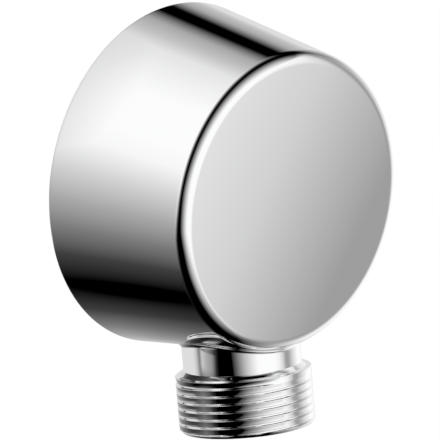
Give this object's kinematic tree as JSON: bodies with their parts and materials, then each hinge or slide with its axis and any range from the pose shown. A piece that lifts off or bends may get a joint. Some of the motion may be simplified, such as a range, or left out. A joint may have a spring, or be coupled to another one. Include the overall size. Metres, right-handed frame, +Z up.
{
  "type": "wall outlet elbow",
  "caption": "Round tapered chrome wall outlet for a shower hose: flat front, forward-leaning threaded outlet, push-on wall nipple, grub screw and sprung non-return valve.",
  "frame": {"origin": "where the inlet axis meets the wall plane, at the shoulder of the wall nipple's thread", "axes": "+Y into the wall along the inlet axis, +Z up, front of the fitting towards -Y"},
  "size_m": [0.0528, 0.04, 0.0647],
  "materials": {
    "chrome_plate": "polished chrome plate on brass",
    "nipple_brass": "turned brass",
    "black_rubber": "smooth black rubber",
    "screw_steel": "stainless steel",
    "valve_plastic": "white acetal",
    "poppet_plastic": "grey acetal",
    "spring_steel": "drawn stainless wire"
  },
  "bodies": {
    "fitting": {"body": "chrome_plate", "wall_nipple": "nipple_brass", "nipple_o_ring": "black_rubber", "grub_screw": "screw_steel", "valve_housing": "valve_plastic", "valve_o_ring": "black_rubber", "valve_guide": "poppet_plastic", "valve_spring": "spring_steel"},
    "poppet": {"valve_poppet": "poppet_plastic", "poppet_seal": "black_rubber"}
  },
  "joints": [
    {"name": "valve_lift", "type": "slide", "parent": "fitting", "child": "poppet", "axis": [0, -0.1219, -0.9925], "range_m": [0, 0.003], "stiffness_N_per_m": 60, "springref_m": -0.004, "deforming": ["valve_spring"]}
  ]
}
